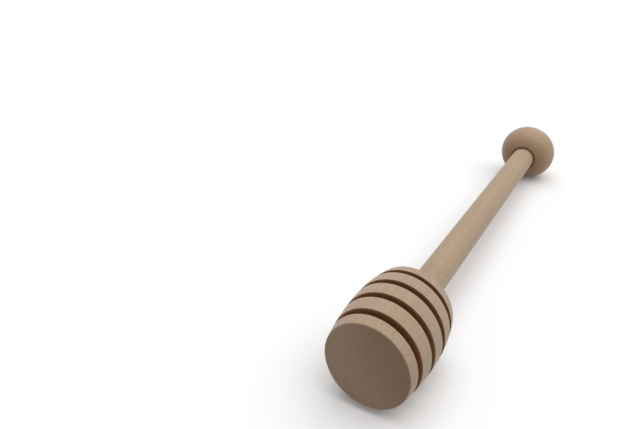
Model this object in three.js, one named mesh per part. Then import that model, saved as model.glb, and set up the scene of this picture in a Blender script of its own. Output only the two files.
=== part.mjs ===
// Honey dipper: a turned beech head and a turned beech ball, glued on the two ends of a beech dowel.
//
// Millimetres, +Z up. The dipper lies on a flat surface at z = 0, as it lies on a table: its long axis
// runs along X, from the ball at -X to the grooved head at +X. The head is thicker than the ball, so the
// axis climbs a little towards the head. The origin is on the surface, under the middle of the whole.

import * as THREE from 'three';

// Driving dimensions of the dowel that is the handle.
const HANDLE_LENGTH = 140;
const HANDLE_DIAMETER = 8;
const HANDLE_END_CHAMFER = 0.6;

// Driving dimensions of the ball that ends the handle. A narrow flat is turned on it round the mouth of
// its bore, and the bore passes the ball's centre a little.
const KNOB_DIAMETER = 20.5;
const KNOB_FLAT_WIDTH = 0.7;
const KNOB_BORE_PAST_CENTRE = 1;

// Driving dimensions of the grooved head. Its shoulder is the face that the handle enters, and its tip
// is the face at the free end. The drops say how much smaller the radius is there than at the belly.
const HEAD_LENGTH = 26;
const HEAD_BELLY_DIAMETER = 23.2;
const BELLY_FROM_SHOULDER = 11;
const SHOULDER_DROP = 1.35;
const TIP_DROP = 1.5;
const SHOULDER_ROUNDING = 0.8;
const TIP_ROUNDING = 0.4;
const BORE_TO_TIP = 10.5;

// The kerfs are the narrow grooves that hold the honey. A ring of wood stands before, between and after
// them, and a core of wood is left between their floors and the bore.
const KERF_COUNT = 4;
const KERF_WIDTH = 1.75;
const SHOULDER_RING_WIDTH = 3.5;
const TIP_RING_WIDTH = 3;
const CORE_WALL = 2.5;
const RIM_CHAMFER = 0.25;

// The glue line round the handle in both bores, and the pocket left past each of its ends.
const GLUE_GAP = 0.3;
const END_POCKET = 0.5;

// How finely the round surfaces are drawn. The sides are even in number.
const SIDES = 32;
const BALL_STEPS = 20;
const ROUNDING_STEPS = 3;
const RIM_STEPS = 3;

const handleRadius = HANDLE_DIAMETER / 2;
const knobRadius = KNOB_DIAMETER / 2;
const bellyRadius = HEAD_BELLY_DIAMETER / 2;
const boreRadius = handleRadius + GLUE_GAP;
const coreRadius = boreRadius + CORE_WALL;

// Places along the axis, measured from the ball's centre towards the head.
const knobBoreEnd = -KNOB_BORE_PAST_CENTRE;
const handleStart = knobBoreEnd + END_POCKET;
const handleEnd = handleStart + HANDLE_LENGTH;
const headBoreEnd = handleEnd + END_POCKET;
const tip = headBoreEnd + BORE_TO_TIP;
const shoulder = tip - HEAD_LENGTH;
const belly = shoulder + BELLY_FROM_SHOULDER;

// The kerfs are evenly spaced between the two end rings.
const firstKerf = shoulder + SHOULDER_RING_WIDTH;
const lastKerf = tip - TIP_RING_WIDTH - KERF_WIDTH;
const kerfPitch = (lastKerf - firstKerf) / Math.max(KERF_COUNT - 1, 1);

// A point of a turned profile: a place along the axis and a radius there.
function at(place, radius) {
  return { place, radius };
}

// The barrel's radius without its grooves: it falls away from the belly as a parabola to each end.
function barrelRadius(place) {
  const side = place < belly
    ? { reach: BELLY_FROM_SHOULDER, drop: SHOULDER_DROP }
    : { reach: HEAD_LENGTH - BELLY_FROM_SHOULDER, drop: TIP_DROP };
  return bellyRadius - side.drop * ((place - belly) / side.reach) ** 2;
}

// A quarter round between a flat end face and the barrel. The towards sign is -1 where the face looks
// back to the ball and +1 at the tip.
function roundedEdge(face, rounding, towards) {
  const centre = face - towards * rounding;
  const outer = barrelRadius(centre);
  const points = [];
  for (let step = 0; step <= ROUNDING_STEPS; step += 1) {
    const angle = (step / ROUNDING_STEPS) * (Math.PI / 2);
    const place = centre + towards * rounding * Math.cos(angle);
    points.push(at(place, outer - rounding + rounding * Math.sin(angle)));
  }
  return towards < 0 ? points : points.reverse();
}

// The rim of one ring, from a place where it begins to a place where it ends.
function rim(from, to) {
  const points = [];
  for (let step = 0; step <= RIM_STEPS; step += 1) {
    const place = THREE.MathUtils.lerp(from, to, step / RIM_STEPS);
    points.push(at(place, barrelRadius(place)));
  }
  return points;
}

// One kerf: down from the chamfered rim before it, along its floor, and up to the next rim.
function kerf(start) {
  const end = start + KERF_WIDTH;
  return [
    at(start, barrelRadius(start) - RIM_CHAMFER),
    at(start, coreRadius),
    at(end, coreRadius),
    at(end, barrelRadius(end) - RIM_CHAMFER),
  ];
}

// The head's profile, from the bottom of its bore, out of the shoulder, over the rings and to the tip.
function headProfile() {
  const points = [
    at(headBoreEnd, 0),
    at(headBoreEnd, boreRadius),
    at(shoulder, boreRadius),
    ...roundedEdge(shoulder, SHOULDER_ROUNDING, -1),
  ];
  let ringStart = shoulder + SHOULDER_ROUNDING;
  for (let count = 0; count < KERF_COUNT; count += 1) {
    const kerfStart = firstKerf + count * kerfPitch;
    points.push(...rim(ringStart, kerfStart - RIM_CHAMFER).slice(count === 0 ? 1 : 0));
    points.push(...kerf(kerfStart));
    ringStart = kerfStart + KERF_WIDTH + RIM_CHAMFER;
  }
  points.push(...rim(ringStart, tip - TIP_ROUNDING).slice(0, -1));
  points.push(...roundedEdge(tip, TIP_ROUNDING, 1));
  points.push(at(tip, 0));
  return points;
}

// The handle's profile: a dowel with both ends chamfered.
function handleProfile() {
  return [
    at(handleStart, 0),
    at(handleStart, handleRadius - HANDLE_END_CHAMFER),
    at(handleStart + HANDLE_END_CHAMFER, handleRadius),
    at(handleEnd - HANDLE_END_CHAMFER, handleRadius),
    at(handleEnd, handleRadius - HANDLE_END_CHAMFER),
    at(handleEnd, 0),
  ];
}

// The ball's profile: from its far pole round to the flat, over the flat, and down the bore.
function knobProfile() {
  const flatAngle = Math.PI - Math.asin((boreRadius + KNOB_FLAT_WIDTH) / knobRadius);
  const points = [at(-knobRadius, 0)];
  for (let step = 1; step <= BALL_STEPS; step += 1) {
    const angle = (step / BALL_STEPS) * flatAngle;
    points.push(at(-knobRadius * Math.cos(angle), knobRadius * Math.sin(angle)));
  }
  points.push(at(-knobRadius * Math.cos(flatAngle), boreRadius));
  points.push(at(knobBoreEnd, boreRadius));
  points.push(at(knobBoreEnd, 0));
  return points;
}

// A profile turned about the X axis. Each side of the polygon touches the true circle, and one side
// faces straight down, so the flats lie at the real radius and the gaps between pieces stay even.
function turned(name, profile, material) {
  const cornerFactor = 1 / Math.cos(Math.PI / SIDES);
  const outline = profile.map((point) => new THREE.Vector2(point.radius * cornerFactor, point.place));
  const geometry = new THREE.LatheGeometry(outline, SIDES, Math.PI / SIDES);
  geometry.rotateZ(-Math.PI / 2);
  const mesh = new THREE.Mesh(geometry, material);
  mesh.name = name;
  return mesh;
}

// The angle by which the axis climbs when the ball and the head's fullest ring touch one flat surface.
function leanAngle(profile) {
  const leans = profile.map((point) => {
    const reach = Math.hypot(point.place, point.radius);
    return Math.acos(knobRadius / reach) - Math.atan2(point.place, point.radius);
  });
  return Math.max(...leans);
}

const headWood = new THREE.MeshStandardMaterial({ color: 0xb59d84, roughness: 0.68, metalness: 0 });
const handleWood = new THREE.MeshStandardMaterial({ color: 0xb8a187, roughness: 0.62, metalness: 0 });
const knobWood = new THREE.MeshStandardMaterial({ color: 0xb49a7f, roughness: 0.65, metalness: 0 });

const headOutline = headProfile();
const pieces = new THREE.Group();
pieces.add(turned('head', headOutline, headWood));
pieces.add(turned('handle', handleProfile(), handleWood));
pieces.add(turned('knob', knobProfile(), knobWood));
pieces.rotation.y = -leanAngle(headOutline);

// The leaning pieces are moved so that the origin is at the bottom centre of their box.
const dipper = new THREE.Group();
dipper.add(pieces);
const box = new THREE.Box3().setFromObject(dipper, true);
const middle = box.getCenter(new THREE.Vector3());
pieces.position.set(-middle.x, -middle.y, -box.min.z);

export default dipper;
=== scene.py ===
# %% [markdown]
# # A turned beech honey dipper
# The dipper is three pieces of plain beech: a barrel-shaped head cut by four narrow kerfs, a straight
# dowel for a handle, and a ball at the far end. The handle is glued into a blind bore in each of the
# other two. This file dresses the measured solids of those pieces: it turns a finer mesh for each one,
# in the same place, and gives it a beech material that is solid all the way through, as wood is.

# %% Load the measured solids
import math
import bpy
from mathutils import Matrix, Vector


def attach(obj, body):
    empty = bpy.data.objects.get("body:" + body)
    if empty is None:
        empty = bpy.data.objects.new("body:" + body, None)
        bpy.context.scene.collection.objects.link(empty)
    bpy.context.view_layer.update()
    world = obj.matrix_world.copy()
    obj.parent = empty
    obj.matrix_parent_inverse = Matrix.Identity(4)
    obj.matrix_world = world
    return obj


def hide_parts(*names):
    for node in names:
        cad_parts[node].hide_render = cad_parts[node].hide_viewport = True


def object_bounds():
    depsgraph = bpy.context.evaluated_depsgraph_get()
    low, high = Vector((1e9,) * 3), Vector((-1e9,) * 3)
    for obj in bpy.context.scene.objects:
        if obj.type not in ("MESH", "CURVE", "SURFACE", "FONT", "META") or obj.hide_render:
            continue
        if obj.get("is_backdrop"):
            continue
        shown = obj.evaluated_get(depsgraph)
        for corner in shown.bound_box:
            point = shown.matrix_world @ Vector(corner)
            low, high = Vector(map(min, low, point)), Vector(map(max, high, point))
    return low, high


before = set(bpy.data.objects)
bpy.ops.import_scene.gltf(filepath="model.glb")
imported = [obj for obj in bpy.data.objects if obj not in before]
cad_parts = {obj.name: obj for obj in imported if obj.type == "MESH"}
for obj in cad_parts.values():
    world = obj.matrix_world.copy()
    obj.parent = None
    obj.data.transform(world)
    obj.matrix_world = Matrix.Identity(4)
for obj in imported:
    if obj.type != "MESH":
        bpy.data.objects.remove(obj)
cad_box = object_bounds()
scene = bpy.context.scene
scene.view_settings.view_transform = "Standard"
print("measured solids:", sorted(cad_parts))

# %% [markdown]
# ## Where the pieces lie
# Sizes are written in millimetres and turned to metres once, at the end of each piece. The dipper lies
# on the table, on its ball and on the fullest ring of its head. The head is thicker than the ball, so
# the long axis leans a little. That axis, and the places along it where each piece begins and ends, are
# measured from the solids instead of being written down a second time.

# %% Measure the axis and the places along it
MM = 0.001
KNOB_RADIUS = 10.25


def axis_points(node):
    """The middles of a turned node's vertices in its two halves: both lie on its axis."""
    places = [vertex.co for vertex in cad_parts[node].data.vertices]
    middle = sum((place.x for place in places)) / len(places)
    halves = [[p for p in places if p.x < middle], [p for p in places if p.x >= middle]]
    return [sum(half, Vector()) / len(half) for half in halves]


def reach_along(node, start, direction):
    """The lowest and highest place of a node along the axis, in millimetres from the start."""
    places = [(v.co - start).dot(direction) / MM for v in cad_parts[node].data.vertices]
    return min(places), max(places)


low_point, high_point = axis_points("handle")
axis = (high_point - low_point).normalized()
lean = math.atan2(axis.z, axis.x)
far_pole, _ = reach_along("knob", low_point, axis)
ball_centre = low_point + axis * (far_pole + KNOB_RADIUS) * MM
handle_start, handle_end = reach_along("handle", ball_centre, axis)
shoulder, tip = reach_along("head", ball_centre, axis)
print(f"lean {math.degrees(lean):.3f} degrees, ball centre", [round(c / MM, 2) for c in ball_centre])
print(f"handle {handle_start:.2f} to {handle_end:.2f} mm, head {shoulder:.2f} to {tip:.2f} mm")

# %% [markdown]
# ## The camera
# The camera comes first, because every later look depends on it. It stands close to the grooved head,
# so the head looks large and the ball small. It looks down at about 17 degrees, along the handle and
# a little across it. The picture is the lower part of a taller one, which is why the lens is shifted:
# its middle lies above the middle of the frame, and the low end of the head is drawn out a little.

# %% Camera
CAMERA_PLACE = (178.51, 46.29, 101.83)
CAMERA_AZIMUTH = 120.341
CAMERA_ELEVATION = 17.080
PICTURE_WIDTH = 640
FOCAL_PIXELS = 616.6
SENSOR_WIDTH = 36.0
LENS_SHIFT = -0.165
NEAREST_SEEN, FARTHEST_SEEN = 0.01, 20.0


def towards(azimuth, elevation):
    """The direction to a place that stands at an azimuth and an elevation, both in degrees."""
    turn, climb = math.radians(azimuth), math.radians(elevation)
    return Vector((math.sin(turn) * math.cos(climb), -math.cos(turn) * math.cos(climb), math.sin(climb)))


camera_data = bpy.data.cameras.new("camera")
camera_data.sensor_width = SENSOR_WIDTH
camera_data.lens = FOCAL_PIXELS / PICTURE_WIDTH * SENSOR_WIDTH
camera_data.shift_y = LENS_SHIFT
camera_data.clip_start = NEAREST_SEEN
camera_data.clip_end = FARTHEST_SEEN
camera = bpy.data.objects.new("camera", camera_data)
scene.collection.objects.link(camera)
scene.camera = camera
camera.location = Vector(CAMERA_PLACE) * MM
camera.rotation_mode = "QUATERNION"
camera.rotation_quaternion = (-towards(CAMERA_AZIMUTH, CAMERA_ELEVATION)).to_track_quat("-Z", "Y")
print(f"lens {camera_data.lens:.2f} mm at", [round(c / MM) for c in camera.location], "mm")

# %% [markdown]
# ## The key light
# The light is soft and comes from high up, a little from behind the ball: the top of the dipper is
# bright, and the cut end that faces the camera is in soft shade. An area lamp would need to be very
# large for that. A sun lamp with a very wide angle does the same: it lights the whole table evenly and
# throws only a soft shadow.

# %% Key light
KEY_STRENGTH = 1.9
KEY_SPREAD = 80.0
KEY_AZIMUTH = -140.0
KEY_ELEVATION = 75.0

key_data = bpy.data.lights.new("key", "SUN")
key_data.energy = KEY_STRENGTH
key_data.angle = math.radians(KEY_SPREAD)
key = bpy.data.objects.new("key", key_data)
key.rotation_mode = "QUATERNION"
key.rotation_quaternion = (-towards(KEY_AZIMUTH, KEY_ELEVATION)).to_track_quat("-Z", "Y")
scene.collection.objects.link(key)
print(f"key at {KEY_ELEVATION} degrees, {KEY_SPREAD} degrees wide")

# %% [markdown]
# ## Two helpers
# Colours are written as the hex values that a colour picker shows, and one function turns them into
# the linear numbers that the shaders need. Another function adds any node, with its settings, its
# constants and its links, so that a tree reads as a list of steps.

# %% Colour and node helpers
MATH, BLEND = "ShaderNodeMath", "ShaderNodeMix"


def linear(hex_colour):
    """A colour written as hex sRGB, as linear red, green, blue and alpha."""
    channels = [int(hex_colour[i:i + 2], 16) / 255 for i in (1, 3, 5)]
    return [c / 12.92 if c <= 0.04045 else ((c + 0.055) / 1.055) ** 2.4 for c in channels] + [1.0]


def add(tree, kind, inputs=None, **settings):
    """Adds a node. Each input is a constant, or a socket to link from."""
    node = tree.nodes.new(kind)
    for name, value in settings.items():
        setattr(node, name, value)
    for key, value in (inputs or {}).items():
        if isinstance(value, bpy.types.NodeSocket):
            tree.links.new(value, node.inputs[key])
        else:
            node.inputs[key].default_value = value
    return node


print("mid grey #808080 is", round(linear("#808080")[0], 3), "in linear light")

# %% [markdown]
# ## The fill light
# The world fills the shade. The camera should see plain white behind the dipper, and white of full
# strength would wash the shade out. A Light Path node tells the two apart: rays that show something to
# the eye, straight or in a reflection, get the white, and rays that carry light get the dimmer fill.

# %% World
FILL_STRENGTH = 0.36
FILL_COLOUR = "#fdfdff"
BACKDROP_WHITE = "#ffffff"


def seen_rays(tree):
    """1 for rays that show something to the eye, straight or in a reflection, and 0 for light."""
    path = add(tree, "ShaderNodeLightPath")
    mirrored = add(tree, MATH, {
        0: path.outputs["Is Glossy Ray"], 1: path.outputs["Is Transmission Ray"]}, operation="MAXIMUM")
    seen = add(tree, MATH, {0: path.outputs["Is Camera Ray"], 1: mirrored.outputs[0]}, operation="MAXIMUM")
    return seen.outputs[0]


world = bpy.data.worlds.new("studio")
scene.world = world
world.use_nodes = True
world.node_tree.nodes.clear()
tree = world.node_tree
fill = add(tree, "ShaderNodeBackground", {"Color": linear(FILL_COLOUR), "Strength": FILL_STRENGTH})
white = add(tree, "ShaderNodeBackground", {"Color": linear(BACKDROP_WHITE), "Strength": 1.0})
shown = add(tree, "ShaderNodeMixShader", {0: seen_rays(tree), 1: fill.outputs[0], 2: white.outputs[0]})
add(tree, "ShaderNodeOutputWorld", {"Surface": shown.outputs[0]})
print("fill", FILL_STRENGTH, "and backdrop", BACKDROP_WHITE)

# %% [markdown]
# ## The table
# The table is one large white sheet, which keeps the dipper's soft shadow. It uses the same two kinds
# of ray. Seen, it is white, with a very faint glow that lifts it to the backdrop's white. As a thing
# that sends light back to the wood it is a little darker and warmer, as a real painted table is.

# %% Table
TABLE_BOUNCE = "#c9c6c2"
TABLE_GLOW = 0.08
TABLE_HALF = 6.0

table_white = bpy.data.materials.new("white_painted_table")
table_white.use_nodes = True
tree = table_white.node_tree
tree.nodes.clear()
seen = seen_rays(tree)
colour = add(tree, BLEND, {0: seen, 6: linear(TABLE_BOUNCE), 7: linear(BACKDROP_WHITE)}, data_type="RGBA")
matt = add(tree, "ShaderNodeBsdfDiffuse", {"Color": colour.outputs[2]})
glow_seen = add(tree, MATH, {0: seen, 1: TABLE_GLOW}, operation="MULTIPLY")
glow = add(tree, "ShaderNodeEmission", {"Color": linear(BACKDROP_WHITE), "Strength": glow_seen.outputs[0]})
lit = add(tree, "ShaderNodeAddShader", {0: matt.outputs[0], 1: glow.outputs[0]})
add(tree, "ShaderNodeOutputMaterial", {"Surface": lit.outputs[0]})

floor_mesh = bpy.data.meshes.new("floor")
corners = [(x * TABLE_HALF, y * TABLE_HALF, 0) for x, y in ((-1, -1), (1, -1), (1, 1), (-1, 1))]
floor_mesh.from_pydata(corners, [], [(0, 1, 2, 3)])
floor_mesh.materials.append(table_white)
floor = bpy.data.objects.new("floor", floor_mesh)
scene.collection.objects.link(floor)
floor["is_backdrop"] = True
print("table", TABLE_HALF * 2, "m wide")

# %% [markdown]
# ## The finish: raw sanded beech
# Beech is pale and even. What the eye reads as beech is four things: faint yearly rings, short dark
# rays, fine fibres along the grain, and cut ends that drink more light. An image wrapped round the
# pieces would break at every edge. Instead the pattern is worked out in space, so each cut through a
# piece shows what it would show in real wood. That needs two kinds of place: one along the piece's own
# axis, and one measured from the middle of the tree that the piece was cut from.

# %% Places in the wood
VECTOR, SPLIT, JOIN = "ShaderNodeVectorMath", "ShaderNodeSeparateXYZ", "ShaderNodeCombineXYZ"


def wood_places(tree, tree_middle, offset):
    """Sockets for a place in millimetres: X runs along the grain from the centre of the ball."""
    turn = Matrix.Rotation(lean, 3, "Y")
    where = add(tree, "ShaderNodeTexCoord")
    place = add(tree, "ShaderNodeMapping", {
        "Vector": where.outputs["Object"], "Location": turn @ (-ball_centre) / MM,
        "Rotation": (0, lean, 0), "Scale": (1 / MM, 1 / MM, 1 / MM)})
    board = add(tree, VECTOR, {0: place.outputs[0], 1: offset}, operation="ADD")
    off_centre = (0, -tree_middle[0], -tree_middle[1])
    across = add(tree, VECTOR, {
        0: place.outputs[0], 1: (0, 1, 1), 2: off_centre}, operation="MULTIPLY_ADD")
    radius = add(tree, VECTOR, {0: across.outputs[0]}, operation="LENGTH")
    sides = add(tree, SPLIT, {0: across.outputs[0]})
    angle = add(tree, MATH, {0: sides.outputs["Y"], 1: sides.outputs["Z"]}, operation="ARCTAN2")
    arc = add(tree, MATH, {0: angle.outputs[0], 1: math.hypot(*tree_middle)}, operation="MULTIPLY")
    grain = add(tree, SPLIT, {0: board.outputs[0]})
    in_tree = add(tree, JOIN, {0: grain.outputs["X"], 1: arc.outputs[0], 2: radius.outputs["Value"]})
    return {"piece": place.outputs[0], "board": board.outputs[0], "tree": in_tree.outputs[0],
            "radius": radius.outputs["Value"], "normal": where.outputs["Normal"]}


def stretched(tree, place, sizes):
    """A place measured in cells of the given sizes, so that a pattern on it comes out that large."""
    return add(tree, VECTOR, {0: place, 1: [1 / size for size in sizes]}, operation="MULTIPLY").outputs[0]


print("grain leans", round(math.degrees(lean), 3), "degrees with the pieces")

# %% [markdown]
# ## Clouds and yearly rings
# The tone drifts slowly along the board, and each year leaves a band that grows from pale early wood to
# a thin darker line. The bands are the distance to the tree's middle, cut into years. The drift also
# pushes the bands about a little, because no tree grows in true circles.

# %% Clouds and yearly rings
NOISE, RAMP = "ShaderNodeTexNoise", "ShaderNodeMapRange"
CLOUD_SIZES = (38.0, 9.0, 9.0)
CLOUD_LOW, CLOUD_HIGH = 0.35, 0.65
RING_WIDTH = 2.3
RING_WANDER = 1.6
EARLY_UNTIL, EARLY_SHADE, LATE_PEAK = 0.40, 0.12, 0.90


def clouds_and_rings(tree, places, offset):
    """Sockets for the slow drift of the tone, and for the darker wood that ends each year."""
    cloud = add(tree, NOISE, {
        "Vector": stretched(tree, places["board"], CLOUD_SIZES), "Scale": 1.0, "Detail": 2.0})
    drift = add(tree, RAMP, {
        "Value": cloud.outputs["Fac"], "From Min": CLOUD_LOW, "From Max": CLOUD_HIGH})
    years = add(tree, MATH, {0: places["radius"], 1: 1 / RING_WIDTH, 2: offset[0]}, operation="MULTIPLY_ADD")
    wavy = add(tree, MATH, {
        0: cloud.outputs["Fac"], 1: RING_WANDER, 2: years.outputs[0]}, operation="MULTIPLY_ADD")
    season = add(tree, MATH, {0: wavy.outputs[0]}, operation="FRACT")
    late = add(tree, "ShaderNodeValToRGB", {0: season.outputs[0]})
    late.color_ramp.elements[0].color = (0, 0, 0, 1)
    late.color_ramp.elements[1].position = LATE_PEAK
    late.color_ramp.elements.new(EARLY_UNTIL).color = (EARLY_SHADE, EARLY_SHADE, EARLY_SHADE, 1)
    late.color_ramp.elements.new(1.0).color = (0, 0, 0, 1)
    return drift.outputs[0], late.outputs[0]


print(f"rings {RING_WIDTH} mm wide, clouds {CLOUD_SIZES[0]:.0f} mm long")

# %% [markdown]
# ## Rays and specks
# Rays are thin sheets of cells that run out from the tree's middle like spokes. Where the surface cuts
# across them they show as short dark dashes, the surest sign of beech, and on the ends as fine lines.
# Each ray is one cell of a Voronoi pattern whose cells are tall along the grain, thin round the tree
# and deep towards its middle. Real rays are about 0.2 mm thick; here they are drawn twice as thick,
# because thinner ones would fall between the pixels. Specks are the few darker dots between them.

# %% Rays and specks
CELLS, PICK = "ShaderNodeTexVoronoi", "ShaderNodeSeparateColor"
RAY_SIZES = (2.8, 0.42, 12.0)
RAY_CORE, RAY_EDGE = 0.16, 0.40
FAINTEST_RAYS = 0.35
SPECK_SIZES = (1.6, 0.55, 0.55)
SPECK_CORE, SPECK_EDGE = 0.14, 0.32
SPECK_SHARE = 0.07


def rays_and_specks(tree, places):
    """Sockets for how much of a ray, and how much of a speck, each place has."""
    ray = add(tree, CELLS, {"Vector": stretched(tree, places["tree"], RAY_SIZES), "Scale": 1.0})
    ray_edge = add(tree, RAMP, {
        "Value": ray.outputs["Distance"], "From Min": RAY_CORE, "From Max": RAY_EDGE,
        "To Min": 1.0, "To Max": 0.0}, interpolation_type="SMOOTHSTEP")
    ray_pick = add(tree, PICK, {0: ray.outputs["Color"]})
    ray_shade = add(tree, RAMP, {"Value": ray_pick.outputs[0], "From Min": FAINTEST_RAYS, "From Max": 1.0})
    rays = add(tree, MATH, {0: ray_edge.outputs[0], 1: ray_shade.outputs[0]}, operation="MULTIPLY")
    speck = add(tree, CELLS, {"Vector": stretched(tree, places["board"], SPECK_SIZES), "Scale": 1.0})
    speck_edge = add(tree, RAMP, {
        "Value": speck.outputs["Distance"], "From Min": SPECK_CORE, "From Max": SPECK_EDGE,
        "To Min": 1.0, "To Max": 0.0})
    speck_pick = add(tree, PICK, {0: speck.outputs["Color"]})
    speck_few = add(tree, MATH, {0: speck_pick.outputs[1], 1: 1 - SPECK_SHARE}, operation="GREATER_THAN")
    specks = add(tree, MATH, {0: speck_edge.outputs[0], 1: speck_few.outputs[0]}, operation="MULTIPLY")
    return rays.outputs[0], specks.outputs[0]


print(f"rays {RAY_SIZES[0]} mm tall and {RAY_SIZES[1]} mm thick")

# %% [markdown]
# ## Fibres and tool marks
# Sanding never hides the fibres fully: they streak the wood along the grain. They are far thinner than
# a pixel, so the noise that stands for them is drawn as coarse as it needs to show. The turned pieces
# also keep faint rings from the tool. These follow the lathe and not the grain, so they are made from
# the place along the axis and the distance from it: rings round the sides, and circles on the ends.

# %% Fibres and tool marks
FIBRE_SIZES = (14.0, 0.76, 0.76)
TOOL_MARK_WIDTH = 0.55


def fibres_and_marks(tree, places):
    """Sockets for the streaks of the fibres and for the rings that the turning tool left."""
    fibre = add(tree, NOISE, {
        "Vector": stretched(tree, places["board"], FIBRE_SIZES), "Scale": 1.0, "Detail": 3.0})
    off_axis = add(tree, VECTOR, {0: places["piece"], 1: (0, 1, 1)}, operation="MULTIPLY")
    from_axis = add(tree, VECTOR, {0: off_axis.outputs[0]}, operation="LENGTH")
    parts = add(tree, SPLIT, {0: places["piece"]})
    on_lathe = add(tree, JOIN, {0: parts.outputs["X"], 1: from_axis.outputs["Value"]})
    marks = add(tree, NOISE, {
        "Vector": stretched(tree, on_lathe.outputs[0], [TOOL_MARK_WIDTH] * 3), "Scale": 1.0, "Detail": 1.0})
    return fibre.outputs["Fac"], marks.outputs["Fac"]


print(f"fibres drawn {FIBRE_SIZES[1]} mm wide, tool marks {TOOL_MARK_WIDTH} mm")

# %% [markdown]
# ## Cut ends and kerfs
# A cut end shows the open ends of the fibres. They swallow light, so an end looks darker and greyer
# than a side. How squarely the surface cuts the grain is the angle between its normal and the axis.
# A surface that only slants across the grain, like the front of the ball, gets part of the end's darkening.
# That wide reach is partly real end grain and partly painted shade on the ball's front, which faces away
# from the key light.
# In a kerf the walls are painted a dark brown, lighter by the rim and darker further in: this is painted
# shade for the kerf's recess.
# The mesh carries a depth value for that, which is nought on the outside and one at the bottom of a kerf.

# %% Cut ends and kerfs
# From this slant on, surfaces are darkened: real end grain, and on the ball's front also painted shade.
END_AND_SHADE_FROM = 0.35
# How far into a kerf its painted shade is full, and how far until that painted shade is darkest.
KERF_SHADE_FROM_RIM = 0.05
DARKEST_FROM_RIM = 0.22


def ends_and_kerfs(tree, places):
    """Sockets for each place's share of cut end, with painted shade on slants, and for how much painted
    shade a kerf gets and how dark it is.
    """
    facing = add(tree, VECTOR, {0: places["normal"], 1: axis}, operation="DOT_PRODUCT")
    squarely = add(tree, MATH, {0: facing.outputs["Value"]}, operation="ABSOLUTE")
    end_grain_and_shade = add(tree, RAMP, {
        "Value": squarely.outputs[0], "From Min": END_AND_SHADE_FROM, "From Max": 1.0},
        interpolation_type="SMOOTHSTEP")
    depth = add(tree, "ShaderNodeAttribute", attribute_name="cut_depth")
    in_kerf = add(tree, RAMP, {"Value": depth.outputs["Fac"], "From Max": KERF_SHADE_FROM_RIM})
    deep = add(tree, RAMP, {"Value": depth.outputs["Fac"], "From Max": DARKEST_FROM_RIM})
    return end_grain_and_shade.outputs[0], in_kerf.outputs[0], deep.outputs[0]


print("kerfs are brown from", KERF_SHADE_FROM_RIM, "of their depth and darkest from", DARKEST_FROM_RIM)

# %% [markdown]
# ## The heart
# The heart of an old beech is a little darker than the wood round it, and its edge is soft. A piece cut
# across that edge is darker on one side, and most so on its ends. Like the years, the heart is told by
# the distance to the tree's middle.

# %% The heart
HEART_BLUR = 7.5


def inside_heart(tree, places, heart_edge):
    """A socket for how far each place lies inside the heart, whose radius is given in millimetres."""
    inside = add(tree, RAMP, {
        "Value": places["radius"], "From Min": heart_edge - HEART_BLUR, "From Max": heart_edge + HEART_BLUR,
        "To Min": 1.0, "To Max": 0.0}, interpolation_type="SMOOTHSTEP")
    return inside.outputs[0]


print("the heart's edge is soft over", 2 * HEART_BLUR, "mm")

# %% [markdown]
# ## The colour of the wood
# The colours are laid over each other in the order in which wood gets them: its own tone, the years,
# the rays, the specks and the fibres. Each is faint on its own, because sanded beech looks nearly plain
# from a step away.

# %% The colour of the wood
LATE_WOOD, RAY_BROWN, SPECK_BROWN = "#8f6f50", "#85603f", "#5c4028"
LATE_STRENGTH, RAY_STRENGTH, SPECK_STRENGTH = 0.12, 0.24, 0.40
STREAK_LOW, STREAK_HIGH, STREAK_RANGE = 0.3, 0.7, 0.045


def wood_colour(tree, tones, drift, late, rays, specks, fibre):
    """A socket for the colour of the wood before anything is done to it."""
    wood = add(tree, BLEND, {0: drift, 6: linear(tones[0]), 7: linear(tones[1])}, data_type="RGBA")
    layers = ((late, LATE_STRENGTH, LATE_WOOD), (rays, RAY_STRENGTH, RAY_BROWN),
              (specks, SPECK_STRENGTH, SPECK_BROWN))
    for amount, strength, brown in layers:
        share = add(tree, MATH, {0: amount, 1: strength}, operation="MULTIPLY")
        wood = add(tree, BLEND, {
            0: share.outputs[0], 6: wood.outputs[2], 7: linear(brown)}, data_type="RGBA")
    streak = add(tree, RAMP, {
        "Value": fibre, "From Min": STREAK_LOW, "From Max": STREAK_HIGH,
        "To Min": 1 - STREAK_RANGE, "To Max": 1 + STREAK_RANGE})
    streaked = add(tree, "ShaderNodeHueSaturation", {"Value": streak.outputs[0], "Color": wood.outputs[2]})
    return streaked.outputs[0]


print("late wood", LATE_WOOD, "rays", RAY_BROWN, "specks", SPECK_BROWN)

# %% [markdown]
# ## The whole material
# Raw wood has no varnish, so it is rough, with a faint sheen from loose fibre ends. Its index of
# refraction is that of cellulose, 1.45 with its pores. The relief is only what a fingertip feels: the
# fibres, the tool's rings, and the rays, which sand down a little deeper than the wood between them.

# %% Beech
HEART_SHADE, END_SHADE, HEART_END_SHADE = "#f2f2f7", "#dad5dc", "#c7beb6"
# The two kerf colours are painted shade: lighter by the rim, darker further in.
KERF_RIM_PAINTED_SHADE, KERF_DEEP_PAINTED_SHADE = "#956133", "#784a1c"
SIDE_ROUGHNESS, END_ROUGHNESS = 0.58, 0.80
CELLULOSE_IOR = 1.45
SHEEN, SHEEN_ROUGHNESS = 0.22, 0.4
RELIEF = 0.022
RAY_HEIGHT = -0.5


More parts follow.
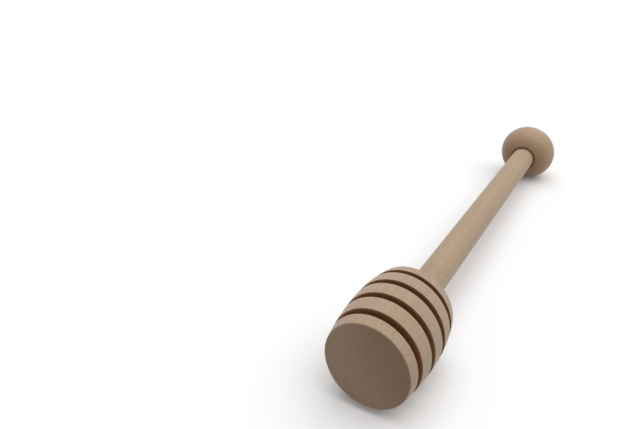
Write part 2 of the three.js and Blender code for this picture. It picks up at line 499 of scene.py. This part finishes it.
def beech(name, tones, tree_middle, heart_edge, offset, tool_marks):
    """Raw sanded beech. The tree's middle is measured from the piece's axis, in millimetres."""
    material = bpy.data.materials.new(name)
    material.use_nodes = True
    tree = material.node_tree
    tree.nodes.clear()
    places = wood_places(tree, tree_middle, offset)
    drift, late = clouds_and_rings(tree, places, offset)
    rays, specks = rays_and_specks(tree, places)
    fibre, marks = fibres_and_marks(tree, places)
    end_grain_and_shade, in_kerf, deep = ends_and_kerfs(tree, places)

    fresh = wood_colour(tree, tones, drift, late, rays, specks, fibre)
    heart = inside_heart(tree, places, heart_edge)
    sides = add(tree, BLEND, {
        0: heart, 6: fresh, 7: linear(HEART_SHADE)}, data_type="RGBA", blend_type="MULTIPLY")
    end_shade = add(tree, BLEND, {
        0: heart, 6: linear(END_SHADE), 7: linear(HEART_END_SHADE)}, data_type="RGBA")
    # Ends are darkened as real end grain, with painted shade on the ball's slanted front.
    ends = add(tree, BLEND, {
        0: end_grain_and_shade, 6: sides.outputs[2], 7: end_shade.outputs[2]}, data_type="RGBA", blend_type="MULTIPLY")
    # Painted shade in the kerfs: the walls go from the rim colour to the deep colour.
    kerf_shade = add(tree, BLEND, {0: deep, 6: linear(KERF_RIM_PAINTED_SHADE), 7: linear(KERF_DEEP_PAINTED_SHADE)}, data_type="RGBA")
    with_kerf_shade = add(tree, BLEND, {0: in_kerf, 6: ends.outputs[2], 7: kerf_shade.outputs[2]}, data_type="RGBA")
    rough = add(tree, RAMP, {"Value": end_grain_and_shade, "To Min": SIDE_ROUGHNESS, "To Max": END_ROUGHNESS})
    raised = add(tree, MATH, {0: marks, 1: tool_marks, 2: fibre}, operation="MULTIPLY_ADD")
    height = add(tree, MATH, {0: rays, 1: RAY_HEIGHT, 2: raised.outputs[0]}, operation="MULTIPLY_ADD")
    bump = add(tree, "ShaderNodeBump", {
        "Height": height.outputs[0], "Distance": RELIEF * MM, "Strength": 1.0})
    surface = add(tree, "ShaderNodeBsdfPrincipled", {
        "Base Color": with_kerf_shade.outputs[2], "Roughness": rough.outputs[0], "IOR": CELLULOSE_IOR,
        "Sheen Weight": SHEEN, "Sheen Roughness": SHEEN_ROUGHNESS, "Normal": bump.outputs[0]})
    add(tree, "ShaderNodeOutputMaterial", {"Surface": surface.outputs[0]})
    return material


print("ends are shaded by", END_SHADE, "and kerfs go from", KERF_RIM_PAINTED_SHADE, "to", KERF_DEEP_PAINTED_SHADE)

# %% [markdown]
# ## Three boards
# Each piece came from another place in another board, so each has its own tones, its own middle of the
# tree and its own offset. Only the head was cut across the edge of a heart. The head and the ball were
# turned on a lathe, and show its marks. The dowel was pushed through a round cutter and shows hardly any.

# %% The wood of each piece
HEAD_HEART, NO_HEART = 41.0, 0.0

head_wood = beech(
    "sanded_beech_head", ("#b69f7f", "#bca187"), tree_middle=(38, 20), heart_edge=HEAD_HEART,
    offset=(4.3, 11.0, 2.0), tool_marks=0.8)
handle_wood = beech(
    "sanded_beech_dowel", ("#b49e7b", "#b1967b"), tree_middle=(22, -41), heart_edge=NO_HEART,
    offset=(61.7, 3.0, 27.0), tool_marks=0.1)
ball_wood = beech(
    "sanded_beech_ball", ("#b39876", "#b8977a"), tree_middle=(-19, 36), heart_edge=NO_HEART,
    offset=(23.9, 41.0, 13.0), tool_marks=0.6)
print("materials:", [wood.name for wood in (head_wood, handle_wood, ball_wood)])

# %% [markdown]
# ## A tree with named inputs
# All the shapes are made by Geometry Nodes. Each tree has one named input for each of its sizes, so the
# same tree could turn a thicker handle or a head with six kerfs. The kind of each input follows from
# the value that it is given first: a whole number, a length or a material.

# %% A tree with named inputs
SOCKETS = {float: "NodeSocketFloat", int: "NodeSocketInt", bpy.types.Material: "NodeSocketMaterial"}


def new_tree(name, sizes):
    """A geometry node tree with one input for each named size, and what its input node gives."""
    tree = bpy.data.node_groups.new(name, "GeometryNodeTree")
    tree.interface.new_socket("Geometry", in_out="INPUT", socket_type="NodeSocketGeometry")
    for size, value in sizes.items():
        tree.interface.new_socket(size, in_out="INPUT", socket_type=SOCKETS[type(value)])
    tree.interface.new_socket("Geometry", in_out="OUTPUT", socket_type="NodeSocketGeometry")
    return tree, add(tree, "NodeGroupInput").outputs


print("kinds of input:", len(SOCKETS))

# %% [markdown]
# ## A lathe made of nodes
# All three pieces are turned: each is a profile swept round one axis. Blender has a Spin tool and a
# Screw modifier for this, but a small node tree does it with the points in full view. It takes the
# profile as a curve and lays out a grid, with one row for each profile point and one column for each
# step round. Every grid point then looks up its own profile point.

# %% The lathe's grid
SIDES = 224

lathe, given = new_tree("lathe", {"Sides": SIDES})
points = add(lathe, "GeometryNodeAttributeDomainSize", {0: given["Geometry"]}, component="CURVE")
columns = add(lathe, MATH, {0: given["Sides"], 1: 1.0}, operation="ADD")
grid = add(lathe, "GeometryNodeMeshGrid", {
    "Vertices X": columns.outputs[0], "Vertices Y": points.outputs["Point Count"]})
index = add(lathe, "GeometryNodeInputIndex")
row = add(lathe, MATH, {0: index.outputs[0], 1: points.outputs["Point Count"]}, operation="MODULO")
place = add(lathe, "GeometryNodeInputPosition")
profile_point = add(lathe, "GeometryNodeSampleIndex", {
    "Geometry": given["Geometry"], "Value": place.outputs[0], "Index": row.outputs[0]},
    data_type="FLOAT_VECTOR", domain="POINT")
depth = add(lathe, "GeometryNodeInputNamedAttribute", {"Name": "cut_depth"}, data_type="FLOAT")
profile_depth = add(lathe, "GeometryNodeSampleIndex", {
    "Geometry": given["Geometry"], "Value": depth.outputs[0], "Index": row.outputs[0]},
    data_type="FLOAT", domain="POINT")
print(f"a column for each of {SIDES} steps round, and one more to close the ring")

# %% [markdown]
# ## Turning the profile
# The column says how far round a point goes, and a Vector Rotate node takes it there. The last column
# falls on the first, and the points on the axis fall together, so merging them closes the skin. The
# depth in the kerfs is stored on the mesh for the wood to read.

# %% Turn the profile
MERGED_WITHIN = 0.0005

column = add(lathe, MATH, {0: index.outputs[0], 1: points.outputs["Point Count"]}, operation="DIVIDE")
step = add(lathe, MATH, {0: column.outputs[0]}, operation="FLOOR")
turned_share = add(lathe, MATH, {0: step.outputs[0], 1: given["Sides"]}, operation="DIVIDE")
turned_angle = add(lathe, MATH, {0: turned_share.outputs[0], 1: math.tau}, operation="MULTIPLY")
round_axis = add(lathe, "ShaderNodeVectorRotate", {
    "Vector": profile_point.outputs[0], "Axis": (1, 0, 0), "Angle": turned_angle.outputs[0]})
swept = add(lathe, "GeometryNodeSetPosition", {
    "Geometry": grid.outputs["Mesh"], "Position": round_axis.outputs[0]})
marked = add(lathe, "GeometryNodeStoreNamedAttribute", {
    "Geometry": swept.outputs[0], "Name": "cut_depth", "Value": profile_depth.outputs[0]},
    data_type="FLOAT", domain="POINT")
closed = add(lathe, "GeometryNodeMergeByDistance", {
    "Geometry": marked.outputs[0], "Distance": MERGED_WITHIN})
smooth = add(lathe, "GeometryNodeSetShadeSmooth", {"Geometry": closed.outputs[0]})
add(lathe, "NodeGroupOutput", {0: smooth.outputs[0]})
print("lathe tree:", len(lathe.nodes), "nodes")

# %% [markdown]
# ## The head, by rule
# The head is the piece that makes a dipper: honey clings in its four kerfs, the narrow saw cuts, and
# runs off the five rings of wood between them. Its profile could be drawn point by point, but it
# follows a rule, so a node tree works it out from the sizes below, all in millimetres. The places are
# measured from the shoulder, which is the face that the handle enters.

# %% The head's sizes
BORE_RADIUS = 4.3

head_sizes = {
    "Length": tip - shoulder,
    "Belly Radius": 11.6,
    "Belly Place": 11.0,
    "Shoulder Drop": 1.35,
    "Tip Drop": 1.5,
    "Kerf Count": 4,
    "Kerf Width": 1.75,
    "Shoulder Ring": 3.5,
    "Tip Ring": 3.0,
    "Core Radius": 6.8,
    "Bore Radius": BORE_RADIUS,
    "Bore Depth": 15.5,
    "Rim Rounding": 0.14,
    "Floor Rounding": 0.25,
    "Shoulder Rounding": 0.8,
    "Tip Rounding": 0.4,
    "Mouth Rounding": 0.15,
    "Sides": SIDES,
    "Wood": head_wood,
}
head_tree, given = new_tree("grooved_head", head_sizes)
print("the head's tree takes", len(head_sizes), "named inputs")

# %% [markdown]
# ## Numbering the points
# Each ring of wood is one block of six points: four along its rim, and two on the floor of the kerf
# after it. Three points before the rule draw the bore. Past those, dividing a point's number by six
# gives its ring, and the remainder gives its place in the block. The kerfs are spread evenly between
# the two end rings, and that gives their pitch. Where two kinds of point are told apart by number, the
# line is drawn half a number off, so that rounding can't move a point across it.

# %% Rings and pitch
RIM_POINTS = 4
BLOCK = RIM_POINTS + 2
BORE_POINTS = 3
HALF = 0.5

index = add(head_tree, "GeometryNodeInputIndex")
ruled = add(head_tree, MATH, {0: index.outputs[0], 1: float(BORE_POINTS)}, operation="SUBTRACT")
block = add(head_tree, MATH, {0: ruled.outputs[0], 1: float(BLOCK)}, operation="DIVIDE")
ring = add(head_tree, MATH, {0: block.outputs[0]}, operation="FLOOR")
number = add(head_tree, MATH, {0: ruled.outputs[0], 1: float(BLOCK)}, operation="MODULO")

first_to_tip = add(head_tree, MATH, {0: given["Length"], 1: given["Shoulder Ring"]}, operation="SUBTRACT")
to_last_end = add(head_tree, MATH, {0: first_to_tip.outputs[0], 1: given["Tip Ring"]}, operation="SUBTRACT")
to_last = add(head_tree, MATH, {0: to_last_end.outputs[0], 1: given["Kerf Width"]}, operation="SUBTRACT")
spans = add(head_tree, MATH, {0: given["Kerf Count"], 1: 1.0}, operation="SUBTRACT")
pitch = add(head_tree, MATH, {0: to_last.outputs[0], 1: spans.outputs[0]}, operation="DIVIDE")
print(BLOCK, "points for each of", head_sizes["Kerf Count"] + 1, "rings")

# %% [markdown]
# ## Places along the head
# A rim runs from the end of one kerf to the start of the next. The same rule would start the first rim
# before the shoulder and end the last one past the tip, so both are held between those two faces. The
# two floor points stand under the rim's end and one kerf's width further on.

# %% Places along the head
kerf_start = add(head_tree, MATH, {
    0: ring.outputs[0], 1: pitch.outputs[0], 2: given["Shoulder Ring"]}, operation="MULTIPLY_ADD")
rim_end = add(head_tree, MATH, {0: kerf_start.outputs[0], 1: given["Length"]}, operation="MINIMUM")
kerf_before = add(head_tree, MATH, {0: kerf_start.outputs[0], 1: pitch.outputs[0]}, operation="SUBTRACT")
after_kerf = add(head_tree, MATH, {0: kerf_before.outputs[0], 1: given["Kerf Width"]}, operation="ADD")
rim_start = add(head_tree, MATH, {0: after_kerf.outputs[0], 1: 0.0}, operation="MAXIMUM")
rim_place = add(head_tree, RAMP, {
    "Value": number.outputs[0], "From Min": 0.0, "From Max": float(RIM_POINTS - 1),
    "To Min": rim_start.outputs[0], "To Max": rim_end.outputs[0]})
on_floor = add(head_tree, MATH, {0: number.outputs[0], 1: RIM_POINTS - HALF}, operation="GREATER_THAN")
far_side = add(head_tree, MATH, {0: number.outputs[0], 1: RIM_POINTS + HALF}, operation="GREATER_THAN")
along = add(head_tree, MATH, {
    0: far_side.outputs[0], 1: given["Kerf Width"], 2: rim_place.outputs[0]}, operation="MULTIPLY_ADD")
print("rims end at the kerfs, and the outer two at the shoulder and the tip")

# %% [markdown]
# ## The barrel
# Held to the eye, the head is a barrel: fullest at the belly, a little nearer the handle than the
# middle, and falling away to both ends along a parabola. Floor points leave the barrel for the core.
# A Switch node picks between two values for each point.

# %% The barrel's radius
SWITCH = "GeometryNodeSwitch"

from_belly = add(head_tree, MATH, {0: along.outputs[0], 1: given["Belly Place"]}, operation="SUBTRACT")
before_belly = add(head_tree, MATH, {0: from_belly.outputs[0], 1: 0.0}, operation="LESS_THAN")
tip_reach = add(head_tree, MATH, {0: given["Length"], 1: given["Belly Place"]}, operation="SUBTRACT")
reach = add(head_tree, SWITCH, {
    "Switch": before_belly.outputs[0], "False": tip_reach.outputs[0], "True": given["Belly Place"]},
    input_type="FLOAT")
drop = add(head_tree, SWITCH, {
    "Switch": before_belly.outputs[0], "False": given["Tip Drop"], "True": given["Shoulder Drop"]},
    input_type="FLOAT")
belly_share = add(head_tree, MATH, {0: from_belly.outputs[0], 1: reach.outputs[0]}, operation="DIVIDE")
squared = add(head_tree, MATH, {0: belly_share.outputs[0], 1: 2.0}, operation="POWER")
fallen = add(head_tree, MATH, {0: squared.outputs[0], 1: drop.outputs[0]}, operation="MULTIPLY")
barrel = add(head_tree, MATH, {0: given["Belly Radius"], 1: fallen.outputs[0]}, operation="SUBTRACT")
ring_radius = add(head_tree, SWITCH, {
    "Switch": on_floor.outputs[0], "False": barrel.outputs[0], "True": given["Core Radius"]},
    input_type="FLOAT")
ruled_point = add(head_tree, JOIN, {0: along.outputs[0], 2: ring_radius.outputs[0]})
print(f"belly {head_sizes['Belly Radius']} mm, core {head_sizes['Core Radius']} mm in radius")

# %% [markdown]
# ## The bore
# The handle sits in a blind bore. Its three points come before the rule: the middle of its bottom, the
# edge of its bottom and its mouth in the shoulder. An Index Switch gives each of them its own corner.

# %% The bore's points
bore_end = add(head_tree, JOIN, {0: given["Bore Depth"]})
bore_edge = add(head_tree, JOIN, {0: given["Bore Depth"], 2: given["Bore Radius"]})
bore_mouth = add(head_tree, JOIN, {2: given["Bore Radius"]})
bore_point = add(head_tree, "GeometryNodeIndexSwitch", {"Index": index.outputs[0]}, data_type="VECTOR")
bore_point.index_switch_items.new()
for item, corner in enumerate((bore_end, bore_edge, bore_mouth)):
    head_tree.links.new(corner.outputs[0], bore_point.inputs[item + 1])
is_bore = add(head_tree, MATH, {0: index.outputs[0], 1: BORE_POINTS - HALF}, operation="LESS_THAN")
ruled_or_bore = add(head_tree, SWITCH, {
    "Switch": is_bore.outputs[0], "False": ruled_point.outputs[0], "True": bore_point.outputs[0]},
    input_type="VECTOR")
print(f"bore {head_sizes['Bore Depth']} mm deep, {2 * BORE_RADIUS} mm across")

# %% [markdown]
# ## The tip
# One point after the rule closes the tip on the axis. The rule makes a full block for each kerf and
# four more points for the last rim, which has no kerf after it.

# %% The tip's point
ruled_count = add(head_tree, MATH, {
    0: given["Kerf Count"], 1: float(BLOCK), 2: float(RIM_POINTS)}, operation="MULTIPLY_ADD")
last_ruled = add(head_tree, MATH, {0: ruled_count.outputs[0], 1: HALF}, operation="SUBTRACT")
is_tip = add(head_tree, MATH, {0: ruled.outputs[0], 1: last_ruled.outputs[0]}, operation="GREATER_THAN")
tip_centre = add(head_tree, JOIN, {0: given["Length"]})
head_point = add(head_tree, SWITCH, {
    "Switch": is_tip.outputs[0], "False": ruled_or_bore.outputs[0], "True": tip_centre.outputs[0]},
    input_type="VECTOR")
point_count = add(head_tree, MATH, {0: ruled_count.outputs[0], 1: BORE_POINTS + 1.0}, operation="ADD")
print(head_sizes["Kerf Count"] * BLOCK + RIM_POINTS + BORE_POINTS + 1, "points in the whole profile")

# %% [markdown]
# ## Rounded corners
# Sanding takes the sharpness off every edge, and a sharp edge catches no light, so it looks false. Each
# point gets the radius of its own corner: small at the rims and on the kerfs' floors, and larger at the
# two end faces. A Compare step is one for the point that it looks for, and nought for all others.

# %% Corners of the rims and floors
NEARLY = 0.1

at_rim_start = add(head_tree, MATH, {0: number.outputs[0], 1: 0.0, 2: NEARLY}, operation="COMPARE")
at_rim_end = add(head_tree, MATH, {
    0: number.outputs[0], 1: RIM_POINTS - 1.0, 2: NEARLY}, operation="COMPARE")
at_rim = add(head_tree, MATH, {0: at_rim_start.outputs[0], 1: at_rim_end.outputs[0]}, operation="ADD")
rim_rounding = add(head_tree, MATH, {0: at_rim.outputs[0], 1: given["Rim Rounding"]}, operation="MULTIPLY")
kerf_rounding = add(head_tree, MATH, {
    0: on_floor.outputs[0], 1: given["Floor Rounding"], 2: rim_rounding.outputs[0]},
    operation="MULTIPLY_ADD")
at_mouth = add(head_tree, MATH, {0: index.outputs[0], 1: BORE_POINTS - 1.0, 2: NEARLY}, operation="COMPARE")
mouth_rounding = add(head_tree, MATH, {
    0: at_mouth.outputs[0], 1: given["Mouth Rounding"]}, operation="MULTIPLY")
inner_rounding = add(head_tree, SWITCH, {
    "Switch": is_bore.outputs[0], "False": kerf_rounding.outputs[0], "True": mouth_rounding.outputs[0]},
    input_type="FLOAT")
print("rims are rounded to", head_sizes["Rim Rounding"], "mm")

# %% Corners of the two end faces
at_shoulder = add(head_tree, MATH, {0: ruled.outputs[0], 1: 0.0, 2: NEARLY}, operation="COMPARE")
with_shoulder = add(head_tree, SWITCH, {
    "Switch": at_shoulder.outputs[0], "False": inner_rounding.outputs[0],
    "True": given["Shoulder Rounding"]}, input_type="FLOAT")
last_rim = add(head_tree, MATH, {0: ruled_count.outputs[0], 1: 1.0}, operation="SUBTRACT")
at_tip_edge = add(head_tree, MATH, {
    0: ruled.outputs[0], 1: last_rim.outputs[0], 2: NEARLY}, operation="COMPARE")
rounding = add(head_tree, SWITCH, {
    "Switch": at_tip_edge.outputs[0], "False": with_shoulder.outputs[0], "True": given["Tip Rounding"]},
    input_type="FLOAT")
print("shoulder and tip to", head_sizes["Shoulder Rounding"], "and", head_sizes["Tip Rounding"], "mm")

# %% [markdown]
# ## From numbers to a line
# A Mesh Line makes the points, and Set Position moves each one to where the rule puts it. Two values
# go with them: the corner's rounding, and the depth that sets the painted shade in the kerfs. A floor
# point has depth one, unless it is the point at the tip, which only shares a floor point's number.

# %% The head's line
outside_rule = add(head_tree, MATH, {0: is_bore.outputs[0], 1: is_tip.outputs[0]}, operation="ADD")
deep = add(head_tree, MATH, {0: on_floor.outputs[0], 1: outside_rule.outputs[0]}, operation="GREATER_THAN")
line = add(head_tree, "GeometryNodeMeshLine", {"Count": point_count.outputs[0]})
placed = add(head_tree, "GeometryNodeSetPosition", {
    "Geometry": line.outputs[0], "Position": head_point.outputs[0]})
with_rounding = add(head_tree, "GeometryNodeStoreNamedAttribute", {
    "Geometry": placed.outputs[0], "Name": "rounding", "Value": rounding.outputs[0]},
    data_type="FLOAT", domain="POINT")
head_profile = add(head_tree, "GeometryNodeStoreNamedAttribute", {
    "Geometry": with_rounding.outputs[0], "Name": "cut_depth", "Value": deep.outputs[0]},
    data_type="FLOAT", domain="POINT")
print("head tree:", len(head_tree.nodes), "nodes so far")

# %% [markdown]
# ## The end of every tree
# The last steps are the same for all three pieces: the points become a curve, its corners are rounded,
# the lathe turns it, and the wood is set on it. Realize Instances makes sure that what leaves the tree
# is plain mesh. The handle and the ball need no rule, so their tree holds these steps alone and takes a
# profile that is drawn point by point.

# %% The last steps, and the tree of a drawn profile
CORNER_POINTS = 5


def finish_tree(tree, profile, given):
    """Rounds a profile's corners, turns it, sets its material and sends it out of the tree."""
    curve = add(tree, "GeometryNodeMeshToCurve", {0: profile})
    corner = add(tree, "GeometryNodeInputNamedAttribute", {"Name": "rounding"}, data_type="FLOAT")
    rounded = add(tree, "GeometryNodeFilletCurve", {
        "Curve": curve.outputs[0], "Radius": corner.outputs[0], "Limit Radius": True,
        "Count": CORNER_POINTS}, mode="POLY")
    turned = add(tree, "GeometryNodeGroup", node_tree=lathe)
    tree.links.new(rounded.outputs[0], turned.inputs["Geometry"])
    tree.links.new(given["Sides"], turned.inputs["Sides"])
    real = add(tree, "GeometryNodeRealizeInstances", {0: turned.outputs[0]})
    dressed = add(tree, "GeometryNodeSetMaterial", {"Geometry": real.outputs[0], "Material": given["Wood"]})
    add(tree, "NodeGroupOutput", {0: dressed.outputs[0]})


finish_tree(head_tree, head_profile.outputs[0], given)
drawn_tree, given = new_tree("turned_profile", {"Sides": SIDES, "Wood": handle_wood})
finish_tree(drawn_tree, given["Geometry"], given)
print("drawn profile tree:", len(drawn_tree.nodes), "nodes")

# %% [markdown]
# ## From a tree to a finished piece
# A piece starts as an object that carries only its profile, or nothing where the tree makes its own.
# The node modifier runs once. A second modifier, Weighted Normal, then gives each flat face its true
# shading and leaves the bending of the light to the small rounded corners. The result is kept as a
# plain mesh, the modifiers go, and the mesh is set in its place: scaled to metres, leaned and moved.

# %% Make a piece
FACE_WEIGHT = 60


def make_piece(name, tree, sizes, start, profile=None):
    """Runs a tree, keeps its result as a plain mesh, and sets it at a place along the axis."""
    piece = bpy.data.objects.new(name, profile or bpy.data.meshes.new(name + "_start"))
    scene.collection.objects.link(piece)
    nodes = piece.modifiers.new("turning", "NODES")
    nodes.node_group = tree
    for item in tree.interface.items_tree:
        if item.in_out == "INPUT" and item.name in sizes:
            nodes[item.identifier] = sizes[item.name]
    piece.modifiers.new("face_shading", "WEIGHTED_NORMAL").weight = FACE_WEIGHT
    bpy.context.view_layer.update()
    result = bpy.context.evaluated_depsgraph_get()
    finished = bpy.data.meshes.new_from_object(
        piece.evaluated_get(result), preserve_all_data_layers=True, depsgraph=result)
    piece.modifiers.clear()
    piece.data = finished
    finished.name = name
    set_in_place = Matrix.Translation(ball_centre) @ Matrix.Rotation(-lean, 4, "Y")
    finished.transform(set_in_place @ Matrix.Scale(MM, 4) @ Matrix.Translation((start, 0, 0)))
    return piece


def report(piece):
    """Prints a piece's faces, its size and its volume, which is positive if the faces point outwards."""
    mesh = piece.data
    rings = [[mesh.vertices[i].co for i in face.vertices] for face in mesh.polygons]
    volume = sum(ring[0].dot(b.cross(c)) for ring in rings for b, c in zip(ring[1:], ring[2:])) / 6
    sizes = [round((max(v.co[i] for v in mesh.vertices) - min(v.co[i] for v in mesh.vertices)) / MM, 2)
             for i in range(3)]
    print(f"{piece.name}: {len(rings)} faces, {sizes} mm, {volume / MM**3:.0f} mm3")


# %% Make the head
head = make_piece("turned_head", head_tree, head_sizes, shoulder)
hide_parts("head")
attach(head, "root")
report(head)

# %% [markdown]
# ## The handle
# The handle is a bought beech dowel, cut to length, with both ends chamfered so that they start easily
# in their bores. A cylinder would do for the part that shows. It is drawn to its real ends, inside the
# head and the ball, because that is how the dipper is put together. Each point of a drawn profile has
# a place along the axis, a radius, a corner's rounding and a depth in a cut.

# %% A drawn profile
def profile_mesh(name, points):
    """A line of vertices that carries each point's rounding and its depth in a cut."""
    mesh = bpy.data.meshes.new(name)
    edges = [(i, i + 1) for i in range(len(points) - 1)]
    mesh.from_pydata([(place, 0, radius) for place, radius, _, _ in points], edges, [])
    for column, value in ((2, "rounding"), (3, "cut_depth")):
        mesh.attributes.new(value, "FLOAT", "POINT").data.foreach_set("value", [p[column] for p in points])
    return mesh


# %% Make the handle
HANDLE_RADIUS = 4.0
HANDLE_CHAMFER = 0.6
CUT_ROUNDING = 0.1
HANDLE_SIDES = 96

handle_points = [
    (handle_start, 0, 0, 0),
    (handle_start, HANDLE_RADIUS - HANDLE_CHAMFER, CUT_ROUNDING, 0),
    (handle_start + HANDLE_CHAMFER, HANDLE_RADIUS, CUT_ROUNDING, 0),
    (handle_end - HANDLE_CHAMFER, HANDLE_RADIUS, CUT_ROUNDING, 0),
    (handle_end, HANDLE_RADIUS - HANDLE_CHAMFER, CUT_ROUNDING, 0),
    (handle_end, 0, 0, 0),
]
handle = make_piece("dowel_handle", drawn_tree, {"Sides": HANDLE_SIDES, "Wood": handle_wood}, 0,
                    profile_mesh("handle_profile", handle_points))
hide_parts("handle")
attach(handle, "root")
report(handle)

# %% [markdown]
# ## The ball
# The ball is turned from its own blank, and is what the hand finds at the end of the handle. A UV
# sphere would miss the narrow flat that is left round the mouth of its bore, and the bore itself. So
# its profile is an arc from the far pole to the edge of that flat, then the flat, then the bore, which
# goes in a little past the ball's centre. The bore's wall is painted the kerfs' deep brown, a painted
# shade that draws the thin dark seam between ball and handle.

# %% Make the ball
ARC_STEPS = 120
FLAT_RADIUS = 5.0
FLAT_ROUNDING = 0.12
SEAM_DEPTH = 0.04
END_POCKET = 0.5

flat_angle = math.pi - math.asin(FLAT_RADIUS / KNOB_RADIUS)
arc_angles = [flat_angle * step / ARC_STEPS for step in range(ARC_STEPS)]
ball_points = [(-KNOB_RADIUS * math.cos(a), KNOB_RADIUS * math.sin(a), 0, 0) for a in arc_angles]
flat_place = -KNOB_RADIUS * math.cos(flat_angle)
ball_points += [
    (flat_place, FLAT_RADIUS, FLAT_ROUNDING, 0),
    # The mouth and the bore carry a depth value, so the bore wall gets the kerfs' painted shade and draws
    # the seam.
    (flat_place, BORE_RADIUS, CUT_ROUNDING, SEAM_DEPTH),
    (handle_start - END_POCKET, BORE_RADIUS, 0, 1),
    (handle_start - END_POCKET, 0, 0, 1),
]
knob = make_piece("turned_ball", drawn_tree, {"Sides": SIDES, "Wood": ball_wood}, 0,
                  profile_mesh("ball_profile", ball_points))
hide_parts("knob")
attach(knob, "root")
report(knob)

# %% [markdown]
# ## Sizes and the last line
# Both boxes are written down, so that the dressed dipper can be compared with the measured solids.

# %% Write the sizes and finish
boxes = {"cad": cad_box, "visual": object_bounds()}
for name, (low, high) in boxes.items():
    print(name, "box in mm:", [round((end - start) / MM, 3) for start, end in zip(low, high)])
